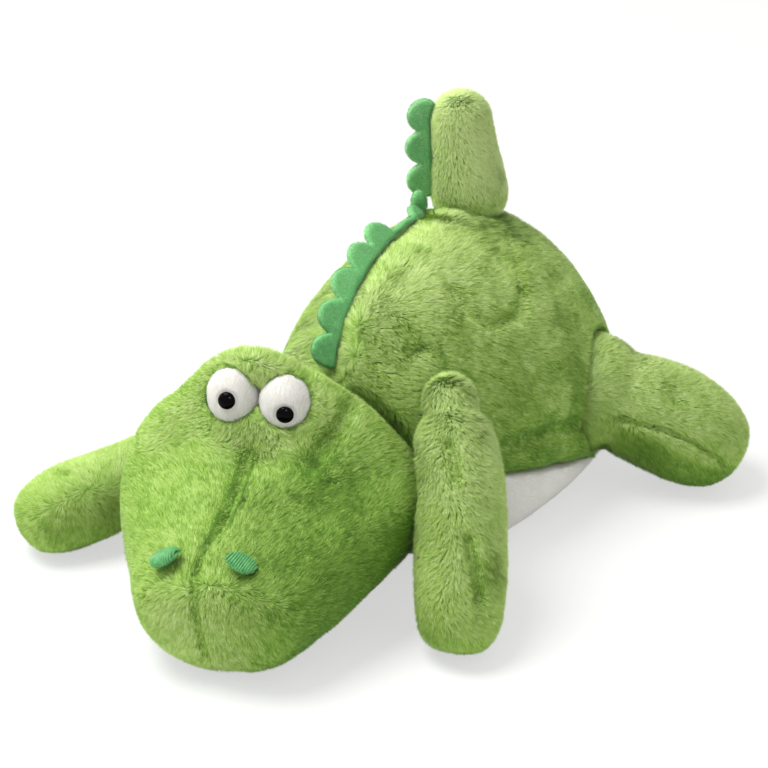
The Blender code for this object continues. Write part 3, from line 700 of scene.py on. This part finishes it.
def close_round_eyes(thing):
    """Brings the backing of the eye sockets up to the balls, and back where they touch each other."""
    points, _ = vertex_arrays(thing.data)
    own = (points - NECK) @ HEAD_AXES
    for place in EYE_PLACES.values():
        off = own - place
        reach = np.linalg.norm(off / EYE_HALF, axis=1)
        closer = np.maximum(reach - 0.15 * np.exp(-(((reach - 1.18) / 0.11) ** 2)), 1.03)
        own = place + off * (closer / reach)[:, None]
    reaches = [np.linalg.norm((own - place) / EYE_HALF, axis=1) for place in EYE_PLACES.values()]
    between = np.exp(-((reaches[0] - 1) / 0.36) ** 2 - ((reaches[1] - 1) / 0.36) ** 2)
    own += between[:, None] * (0.0, 0.013, -0.004)
    thing.data.vertices.foreach_set("co", (NECK + own @ HEAD_AXES.T).astype(np.float32).ravel())
    thing.data.update()


head_skin = backing("head", "head_skin", 0.0034, 0.0032, 8)
press(head_skin, head_creases, 0.0014, 0.038, 23)
close_round_eyes(head_skin)
head_skin.data.materials.append(green_knit)
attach(head_skin, "head")
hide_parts("head")
grow("head_pile", head_skin, "head", green_pile, 23, comb_head, 4.7, 0.0053,
     creases=head_creases, keep=head_shows, trim_to=off_the_eyes, tone_and_painted_light_at=head_tone_and_painted_light,
     grain=1.7, tuft=0.0016, lean=55)

# The eyes: two balls of short white knit pile, stuffed hard and let into the head side by side.
# Each carries a domed safety eye of glossy black plastic, pressed a little into the knit, whose stem is
# held by a washer inside. A gaze is how many degrees the eye looks to the toy's left, and up.

GAZES = {"left": (13, 11), "right": (3, 27)}
FUZZ_SEEDS = {"left": 51, "right": 57}
PUPIL_RADIUS = 0.0062
PUPIL_DOME = 0.0034
PUPIL_EDGE = 0.0009
PUPIL_PROUD = 0.0003
EDGE_ROUND = 0.0003
STEM_RADIUS = 0.00225
STEM_LENGTH = 0.0150
STEM_POINT = 0.0016
DIMPLE_DEPTH = 0.0011
RIM_DEPTH = 0.0006

# The ball's short brushed fibre, which blurs the knit's ribs: near white, only a little greyer at its root, as
# painted shade.
FUZZ_WHITE = {
    "root": "#E4E2DE", "deep": "#DCDAD6", "shade": "#E6E4E1", "middle": "#EFEEEB", "light": "#F8F7F5",
}
white_fuzz = pile_material("white_knit_fuzz", FUZZ_WHITE, 0.8, 0.1, 0.5)


def white_knit_material():
    """Knitted white polyester, brushed: fine ribs 1.65 mm apart run up the ball, unevenly where it stretches,
    and give its side a soft striping, painted shade in the grooves over their bump. Real ribs are half that,
    which is too fine to show."""
    rib_spacing = 1.6535 * MM
    stretch = 6.25 * MM
    material, tree, output = new_material("white_knit_ball")
    place = add_node(tree, "ShaderNodeTexCoord")
    bend = add_node(
        tree, "ShaderNodeTexNoise", {"Vector": place.outputs["Object"], "Scale": 1 / stretch, "Detail": 3.0}
    )
    ribs = add_node(
        tree, "ShaderNodeTexWave",
        {"Vector": place.outputs["Object"], "Scale": math.pi / 10 / rib_spacing, "Distortion": 3.0,
         "Detail": 2.0, "Detail Scale": 3.0},
        bands_direction="X",
    )
    both = add_node(tree, "ShaderNodeMath", {0: ribs.outputs[1], 1: bend.outputs[0]}, operation="MULTIPLY")
    shade = add_node(tree, "ShaderNodeMapRange", {"Value": both.outputs[0], "From Min": 0.0, "From Max": 0.6})
    colour = add_node(
        tree, "ShaderNodeMix",
        {"Factor": shade.outputs[0], 6: linear("#E4E2DE"), 7: linear("#F3F1EE")}, data_type="RGBA",
    )
    relief = add_node(
        tree, "ShaderNodeBump", {"Height": both.outputs[0], "Strength": 0.5, "Distance": 0.5 * MM}
    )
    skin = add_node(
        tree, "ShaderNodeBsdfPrincipled",
        {"Base Color": colour.outputs[2], "Roughness": 0.92, "Specular IOR Level": 0.12,
         "Normal": relief.outputs[0], "Sheen Weight": 0.25},
    )
    tree.links.new(skin.outputs[0], output.inputs["Surface"])
    return material


def black_plastic_material():
    """Moulded black acrylic with a polished dome: near black with one small sharp light, which faint wear in
    patches 2.4 mm wide breaks a little at its edge."""
    material, tree, output = new_material("black_moulded_plastic")
    place = add_node(tree, "ShaderNodeTexCoord")
    wear = add_node(
        tree, "ShaderNodeTexNoise",
        {"Vector": place.outputs["Object"], "Scale": 1 / (2.381 * MM), "Detail": 5.0},
    )
    rough = add_node(tree, "ShaderNodeMapRange", {"Value": wear.outputs[0], "To Min": 0.05, "To Max": 0.14})
    colour = add_node(
        tree, "ShaderNodeMix",
        {"Factor": wear.outputs[0], 6: linear("#020202"), 7: linear("#060606")}, data_type="RGBA",
    )
    skin = add_node(
        tree, "ShaderNodeBsdfPrincipled",
        {"Base Color": colour.outputs[2], "Roughness": rough.outputs[0], "Specular IOR Level": 0.05},
    )
    tree.links.new(skin.outputs[0], output.inputs["Surface"])
    return material


def washer_material():
    """Moulded polypropylene in its own milky white: a dull gloss, clouded by flow marks 3.3 mm wide. It sits
    inside the head, so it only shows when the toy is taken apart."""
    material, tree, output = new_material("milky_moulded_plastic")
    place = add_node(tree, "ShaderNodeTexCoord")
    marks = add_node(
        tree, "ShaderNodeTexNoise",
        {"Vector": place.outputs["Object"], "Scale": 1 / (3.333 * MM), "Detail": 4.0},
    )
    colour = add_node(
        tree, "ShaderNodeMix",
        {"Factor": marks.outputs[0], 6: linear("#D2D2CC"), 7: linear("#E8E8E2")}, data_type="RGBA",
    )
    relief = add_node(
        tree, "ShaderNodeBump", {"Height": marks.outputs[0], "Strength": 0.2, "Distance": 0.2 * MM}
    )
    skin = add_node(
        tree, "ShaderNodeBsdfPrincipled",
        {"Base Color": colour.outputs[2], "Roughness": 0.4, "Normal": relief.outputs[0]},
    )
    tree.links.new(skin.outputs[0], output.inputs["Surface"])
    return material


white_knit = white_knit_material()
black_plastic = black_plastic_material()
milky_plastic = washer_material()


def lathed(name, outline, turns, matrix, material):
    """A round moulded piece: radius and height pairs from the top down, in the frame of its axis."""
    points = []
    faces = []
    for radius, height in outline:
        for k in range(turns):
            angle = 2 * math.pi * k / turns
            points.append(matrix @ Vector((radius * math.cos(angle), radius * math.sin(angle), height)))
    for row in range(len(outline) - 1):
        for k in range(turns):
            other = (k + 1) % turns
            above, below = row * turns, (row + 1) * turns
            faces.append((above + k, below + k, below + other, above + other))
    mesh = bpy.data.meshes.new(name)
    mesh.from_pydata(points, [], faces)
    shell = bmesh.new()
    shell.from_mesh(mesh)
    bmesh.ops.remove_doubles(shell, verts=shell.verts, dist=1e-7)
    bmesh.ops.recalc_face_normals(shell, faces=shell.faces)
    shell.to_mesh(mesh)
    shell.free()
    mesh.shade_smooth()
    return placed(name, mesh, material)


for side, place in EYE_PLACES.items():
    turn, lift = (math.radians(angle) for angle in GAZES[side])
    gaze = np.array((math.sin(turn) * math.cos(lift), -math.cos(turn) * math.cos(lift), math.sin(lift)))
    reach = 1 / math.sqrt(((gaze / EYE_HALF) ** 2).sum())
    seat = math.sqrt(reach**2 - PUPIL_RADIUS**2) - PUPIL_EDGE + PUPIL_PROUD

    shell = bmesh.new()
    bmesh.ops.create_icosphere(shell, subdivisions=6, radius=1.0)
    for vertex in shell.verts:
        way = np.array(vertex.co)
        spot = way * EYE_HALF
        along = spot @ gaze
        off = np.linalg.norm(spot - gaze * along)
        if along > 0:
            dimple = DIMPLE_DEPTH * math.exp(-((off / 0.0085) ** 4))
            rim = RIM_DEPTH * math.exp(-(((off - 0.0066) / 0.0012) ** 2))
            spot = spot - gaze * (dimple + rim)
        vertex.co = Vector(NECK + HEAD_AXES @ (place + spot))
    mesh = bpy.data.meshes.new(f"{side}_eye_ball")
    shell.to_mesh(mesh)
    shell.free()
    mesh.shade_smooth()
    ball = placed(f"{side}_eye_ball", mesh, white_knit)
    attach(ball, "head")
    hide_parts(f"{side}_eyeball")

    def off_the_pupil(roots, ups, place=place, gaze=gaze):
        """No fuzz grows under the safety eye."""
        own = (roots - NECK) @ HEAD_AXES - place
        along = own @ gaze
        off = np.linalg.norm(own - along[:, None] * gaze, axis=1)
        return (off > PUPIL_RADIUS + 0.0009) | (along < 0)

    def comb_ball(roots, ups):
        """Down the ball."""
        return np.tile(HEAD_AXES @ np.array((0.2, 0.1, -1.0)), (len(roots), 1))

    seed = FUZZ_SEEDS[side]
    grow(f"{side}_eye_fuzz", ball, "head", white_fuzz, seed, comb_ball, 2.6, 0.0017,
         width=0.00026, lean=46, keep=off_the_pupil, tuft=0.0012, gather=0.3)

    turned = Vector((0, 0, 1)).rotation_difference(Vector(HEAD_AXES @ gaze)).to_matrix().to_4x4()
    matrix = Matrix.Translation(Vector(NECK + HEAD_AXES @ place)) @ turned
    outline = [
        (PUPIL_RADIUS * math.sin(angle), seat + PUPIL_EDGE + PUPIL_DOME * math.cos(angle))
        for angle in (math.radians(6 * k) for k in range(16))
    ]
    outline[0] = (0.0, outline[0][1])
    outline += [
        (PUPIL_RADIUS, seat + EDGE_ROUND),
        (PUPIL_RADIUS - EDGE_ROUND, seat),
        (STEM_RADIUS, seat),
        (STEM_RADIUS, seat - STEM_LENGTH + 0.8 * MM),
        (STEM_POINT, seat - STEM_LENGTH),
        (0.0, seat - STEM_LENGTH),
    ]
    pupil = lathed(f"{side}_safety_eye", outline, 64, matrix, black_plastic)
    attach(pupil, "head")
    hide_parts(f"{side}_pupil")

    washer = frame["nodes"][f"{side}_eye_washer"]
    washer.data.materials.clear()
    washer.data.materials.append(milky_plastic)

# The nostrils: two ovals of satin stitch in dark green thread, laid over a little pad so that they stand up.
# The threads run across each oval, side by side, with a sheen along them.


def thread_material():
    """Twisted rayon embroidery thread, laid as satin stitch: a silky gloss, flecked by turns of ply about
    half a millimetre long with painted shade where they sink, over their bump, and a little deeper in tone in
    patches about 4 mm across."""
    material, tree, output = new_material("green_satin_stitch")
    place = add_node(tree, "ShaderNodeTexCoord")
    ply = add_node(
        tree, "ShaderNodeTexNoise",
        {"Vector": place.outputs["Object"], "Scale": 1 / (0.5556 * MM), "Detail": 2.0},
    )
    cloud = add_node(
        tree, "ShaderNodeTexNoise",
        {"Vector": place.outputs["Object"], "Scale": 1 / (3.846 * MM), "Detail": 2.0},
    )
    both = add_node(tree, "ShaderNodeMath", {0: ply.outputs[0], 1: cloud.outputs[0]}, operation="MULTIPLY")
    shade = add_node(
        tree, "ShaderNodeMapRange", {"Value": both.outputs[0], "From Min": 0.12, "From Max": 0.42}
    )
    colour = add_node(
        tree, "ShaderNodeMix",
        {"Factor": shade.outputs[0], 6: linear("#2F8A3E"), 7: linear("#66B56C")}, data_type="RGBA",
    )
    relief = add_node(
        tree, "ShaderNodeBump", {"Height": ply.outputs[0], "Strength": 0.4, "Distance": 0.1 * MM}
    )
    skin = add_node(
        tree, "ShaderNodeBsdfPrincipled",
        {"Base Color": colour.outputs[2], "Roughness": 0.42, "Specular IOR Level": 0.5,
         "Normal": relief.outputs[0], "Sheen Weight": 0.2},
    )
    tree.links.new(skin.outputs[0], output.inputs["Surface"])
    return material


satin_thread = thread_material()
NOSTRIL_HALF = (0.0118, 0.0074, 0.0046)
PAD_HALF = (0.0106, 0.0060, 0.0034)
NOSTRIL_RISE = 0.0004
SLOPES = {"left": 36, "right": -24}
STITCHES = 12
THREAD_SIDES = 6
THREAD_BENDS = 12


def satin_oval(side, place):
    """Threads laid side by side over an oval pad, and the pad under them."""
    slope = Matrix.Rotation(math.radians(SLOPES[side]), 3, "Y")
    shell = bmesh.new()
    pad = bmesh.ops.create_uvsphere(shell, u_segments=32, v_segments=16, radius=1.0)["verts"]
    for vertex in pad:
        vertex.co = Vector([own * half for own, half in zip(vertex.co, PAD_HALF)])
    radius = NOSTRIL_HALF[0] / STITCHES * 1.05
    along = Vector((1, 0, 0))
    for k in range(STITCHES):
        share = -1 + 2 * (k + 0.5) / STITCHES
        span = math.sqrt(1 - share**2)
        rows = []
        for j in range(THREAD_BENDS + 1):
            angle = math.pi * (-0.06 + 1.12 * j / THREAD_BENDS)
            outward = Vector((0, math.cos(angle), math.sin(angle)))
            middle = Vector((
                (0.90 * share + 0.12 * math.cos(angle)) * NOSTRIL_HALF[0] * 0.96,
                math.cos(angle) * NOSTRIL_HALF[1] * span,
                math.sin(angle) * NOSTRIL_HALF[2] * (0.45 + 0.55 * span),
            ))
            ring = []
            for i in range(THREAD_SIDES):
                twist = 2 * math.pi * i / THREAD_SIDES
                off = along * radius * math.cos(twist) + outward * radius * math.sin(twist)
                ring.append(shell.verts.new(middle + off))
            rows.append(ring)
        for first, second in zip(rows, rows[1:]):
            for i in range(THREAD_SIDES):
                other = (i + 1) % THREAD_SIDES
                shell.faces.new((first[i], first[other], second[other], second[i]))
        shell.faces.new(rows[0])
        shell.faces.new(rows[-1])
    bmesh.ops.recalc_face_normals(shell, faces=shell.faces)
    for vertex in shell.verts:
        own = slope @ vertex.co
        vertex.co = Vector(NECK + HEAD_AXES @ (place + np.array(own)))
    mesh = bpy.data.meshes.new(f"{side}_nostril_stitching")
    shell.to_mesh(mesh)
    shell.free()
    mesh.shade_smooth()
    return placed(f"{side}_nostril_stitching", mesh, satin_thread)


for side, spot in zip(("left", "right"), NOSTRIL_SPOTS):
    oval = satin_oval(side, spot + (0, 0, NOSTRIL_RISE))
    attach(oval, "head")
    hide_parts(f"{side}_nostril")

# The arms: two stuffed tubes of the same plush that swell towards the paw. The near one hangs to the floor
# in front of the shoulder, with a thumb marked by a stitched crease. The far one lies out along the floor.

thumb = [
    (0.1444, -0.2120, 0.0870), (0.1487, -0.2158, 0.0847), (0.1539, -0.2194, 0.0771),
    (0.1595, -0.2250, 0.0659), (0.1642, -0.2292, 0.0553),
]
thumb_end = [(0.1642, -0.2292, 0.0553), (0.1660, -0.2340, 0.0440)]
shoulder_fold = [
    (0.1110, -0.1790, 0.1360), (0.1154, -0.1830, 0.1334), (0.1195, -0.1876, 0.1281), (0.1237, -0.1936, 0.1213)
]
far_thumb = [(-0.1690, -0.2440, 0.0660), (-0.1792, -0.2428, 0.0645)]
# The last number of each crease is the painted shade of the pile along it.
near_arm_creases = [
    (thumb, 0.0044, 0.0046, 0.20),
    (thumb_end, 0.0026, 0.0036, 0.12),
    (shoulder_fold, 0.0036, 0.0042, 0.20),
]
far_arm_creases = [(far_thumb, 0.0040, 0.0045, 0.18)]
LIMB_VOXEL = 0.0030
LIMB_PILE_DEPTH = 0.0030
LIMB_SEAM_REACH = 0.038
LIMB_SEAM_RISE = 0.0020


def comb_limb(way, pivot, reach, back):
    """One way over the whole limb, and another within reach of its root."""

    def comb(roots, ups):
        near = np.exp(-((np.linalg.norm(roots - np.array(pivot), axis=1) / reach) ** 4))[:, None]
        return np.array(way) * (1 - near) + np.array(back) * near + wander(roots, 0.05, 77) * 0.5

    return comb


def arm_tone_and_painted_light(roots, ups):
    """Painted light towards the near shoulder, and painted shade on the far arm, at the toy's right."""
    return 0.07 + 0.08 * np.clip((roots[:, 2] - 0.08) / 0.05, 0, 1) - 0.14 * (roots[:, 0] < 0)


def limb_shows(pivot, reach):
    """No pile grows on the end of a limb that is inside the body."""

    def shows(roots, ups):
        return np.linalg.norm(roots - np.array(pivot), axis=1) > reach

    return shows


for name, creases, way, seed in (
    ("left_arm", near_arm_creases, (0.15, 0.20, -1.0), 61),
    ("right_arm", far_arm_creases, (-0.5, 0.5, -0.6), 67),
):
    skin = backing(name, f"{name}_skin", LIMB_VOXEL, LIMB_PILE_DEPTH, 8)
    press(skin, creases, 0.0012, 0.030, seed)
    close_up(skin, [PIVOTS[name]], LIMB_SEAM_REACH, LIMB_SEAM_RISE)
    skin.data.materials.append(green_knit)
    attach(skin, name)
    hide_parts(name)
    comb = comb_limb(way, PIVOTS[name], 0.030, (0.1, 0.1, -1.0))
    grow(f"{name}_pile", skin, name, green_pile, seed, comb, 4.6, 0.0053,
         creases=creases, tone_and_painted_light_at=arm_tone_and_painted_light, grain=1.15, tuft=0.0015, lean=56)

# The hind legs: the same stuffed tubes of plush, splayed to the sides and sewn to the rump. Each is closed by
# a sole, whose seam shows along the near one. The right leg is hidden in the photo and taken to be the same.

sole_seam = [
    (0.148, 0.015, 0.073), (0.158, 0.018, 0.071), (0.181, 0.029, 0.0655),
    (0.199, 0.039, 0.0565), (0.215, 0.050, 0.043), (0.220, 0.057, 0.0335),
]
knee_tuck = [(0.1774, 0.0487, 0.0918), (0.1836, 0.0433, 0.0841)]
# The last number of each crease is the painted shade of the pile along it.
near_leg_creases = [(sole_seam, 0.0032, 0.0020, 0.24), (knee_tuck, 0.0016, 0.0034, 0.12)]
SOLE_START = 0.150
SOLE_TOP = 0.0705
SOLE_FALL = 0.58


def leg_tone_and_painted_shade(roots, ups):
    """The near sole, below its seam, is of deeper tone as painted shade, and so is the near leg's root."""
    below = SOLE_TOP - SOLE_FALL * (roots[:, 0] - SOLE_START) - roots[:, 2]
    sole = 1 / (1 + np.exp(-below / 0.0020))
    near = np.exp(-((np.linalg.norm(roots - PIVOTS["left_hind_leg"], axis=1) / 0.050) ** 2))
    outer = 1 / (1 + np.exp(-(roots[:, 0] - SOLE_START) / 0.006))
    return 0.12 - 0.04 * near - 0.40 * outer * sole


for name, creases, hip, way, seed in (
    ("left_hind_leg", near_leg_creases, (0.112, 0.046, 0.074), (0.5, 0.6, -0.6), 71),
    ("right_hind_leg", [], (-0.074, 0.092, 0.070), (0.3, -0.3, -0.9), 73),
):
    skin = backing(name, f"{name}_skin", LIMB_VOXEL, LIMB_PILE_DEPTH, 8)
    press(skin, creases, 0.0012, 0.030, seed)
    close_up(skin, [PIVOTS[name]], LIMB_SEAM_REACH, LIMB_SEAM_RISE)
    skin.data.materials.append(green_knit)
    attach(skin, name)
    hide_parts(name)
    comb = comb_limb(way, hip, 0.046, (-way[0] * 0.3, -0.1, 0.0))
    grow(f"{name}_pile", skin, name, green_pile, seed, comb, 4.6, 0.0055,
         creases=creases, keep=limb_shows(hip, 0.026), tone_and_painted_light_at=leg_tone_and_painted_shade, grain=1.3, tuft=0.0015, lean=56)

# The tail: a short stuffed stub of the same plush that stands up from the rump. It is one folded panel,
# rounded at its tip and gathered at the seam round its foot.

TAIL_FOOT = 0.206
tail_skin = backing("tail", "tail_skin", 0.0028, 0.0026, 6)
tail_skin.data.materials.append(green_knit)
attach(tail_skin, "tail")
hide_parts("tail")
close_up(tail_skin, [PIVOTS["tail"]], 0.032, 0.0016)


def tail_shows(roots, ups):
    """No pile grows on the part inside the rump."""
    return roots[:, 2] > TAIL_FOOT


def tail_painted_light_and_shade(roots, ups):
    """The palest pile of all, as painted light, but deeper in the gathers round the foot, as painted shade."""
    return 0.40 - 0.22 * np.exp(-(((roots[:, 2] - TAIL_FOOT - 0.011) / 0.0045) ** 2))


comb_tail = comb_limb((0.2, 0.45, -1.0), PIVOTS["tail"], 0.01, (0, 0, -1))
grow("tail_pile", tail_skin, "tail", green_pile, 81, comb_tail, 4.8, 0.0047,
     keep=tail_shows, tone_and_painted_light_at=tail_painted_light_and_shade, tuft=0.0013, lean=56)

# The belly: a panel of short white plush, sewn edge to edge into the underside. It bulges a little with the
# stuffing and takes the toy's weight, and its edge shows below the near flank.

white_knit_ground = knit_material("white_plush_knitted_ground", "#E4E2DD", "#F4F3F0", 0.9 * MM)
# The root colour is painted shade deep in the pile.
PILE_WHITE = {
    "root": "#F0EEEB", "deep": "#E6E4E0", "shade": "#F1F0ED", "middle": "#F8F7F5", "light": "#FDFDFC",
}
white_pile = pile_material("white_plush_short_pile", PILE_WHITE, 0.8, 0.2, 0.5)


def comb_belly(roots, ups):
    """Down, and back along its left and forward along its right, as the body's pile does."""
    side = np.tanh((roots[:, 0] - BODY_MIDDLE) / 0.03)
    return np.stack([0.2 * side, 0.7 * side, np.full(len(roots), -0.7)], axis=1)


def belly_shows(roots, ups):
    """No pile grows where the panel is pressed flat on the floor, or on its inner face."""
    return (roots[:, 2] > 4 * MM) & (ups[:, 2] < 0.6)


belly_skin = backing("belly_panel", "belly_skin", 0.0034, 0.0006, 6)
belly_skin.data.materials.append(white_knit_ground)
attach(belly_skin, "torso")
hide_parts("belly_panel")
grow("belly_pile", belly_skin, "torso", white_pile, 91, comb_belly, 2.4, 0.0034, width=0.0004,
     lean=54, keep=belly_shows, tuft=0.0018, gather=0.4)

# The trim: a strip of short-pile plush in a deeper green, cut in scallops, folded and stitched flat, and sewn
# into the spine. It leans to the toy's right along the back, and stands out from the tail.

# The root colour is painted shade deep in the pile.
TRIM_GREEN = {
    "root": "#7BC780", "deep": "#5DB068", "shade": "#7ACB82", "middle": "#98DC97", "light": "#C8F1C3",
}
trim_fuzz = pile_material("green_trim_short_pile", TRIM_GREEN, 0.8, 0.3, 0.5)
trim_ground = knit_material("green_trim_ground", "#6CBD74", "#8BD28C", 0.7 * MM)
LAST_SCALLOP = Vector((-0.0125, -0.0012, 0.2200))
LAST_SCALLOP_HALF = (0.0056, 0.0028, 0.0100)
LAST_SCALLOP_TURN = math.radians(30)


def with_last_scallop(name):
    """The strip, whose last scallop, the one at the tail's foot, is rounded out to its full height."""
    shell = bmesh.new()
    shell.from_mesh(frame["nodes"][name].data)
    turn = Matrix.Rotation(LAST_SCALLOP_TURN, 4, "Z")
    petal = bmesh.ops.create_uvsphere(shell, u_segments=24, v_segments=16, radius=1.0)["verts"]
    for vertex in petal:
        own = Vector([part * half for part, half in zip(vertex.co, LAST_SCALLOP_HALF)])
        vertex.co = LAST_SCALLOP + turn @ own
    grown = bpy.data.meshes.new(name)
    shell.to_mesh(grown)
    shell.free()
    return grown


def paler(roots, ups):
    """The tail's strip is the paler of the two, as painted light."""
    return np.full(len(roots), 0.36)


def comb_trim(roots, ups):
    """Up and out along each scallop."""
    return np.tile((-0.6, -0.3, 0.5), (len(roots), 1))


for node, body, seed, form, tone_and_painted_light_at in (
    ("back_trim", "torso", 95, with_last_scallop("back_trim"), None),
    ("tail_trim", "tail", 97, None, paler),
):
    strip = backing(node, f"{node}_strip", 0.0008, -0.0010, 36, form)
    strip.data.materials.append(trim_ground)
    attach(strip, body)
    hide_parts(node)
    grow(f"{node}_fuzz", strip, body, trim_fuzz, seed, comb_trim, 4.4, 0.0015,
         width=0.00028, lean=36, tuft=0.0011, gather=0.3, swirl=0.4, grain=2.0, tone_and_painted_light_at=tone_and_painted_light_at)
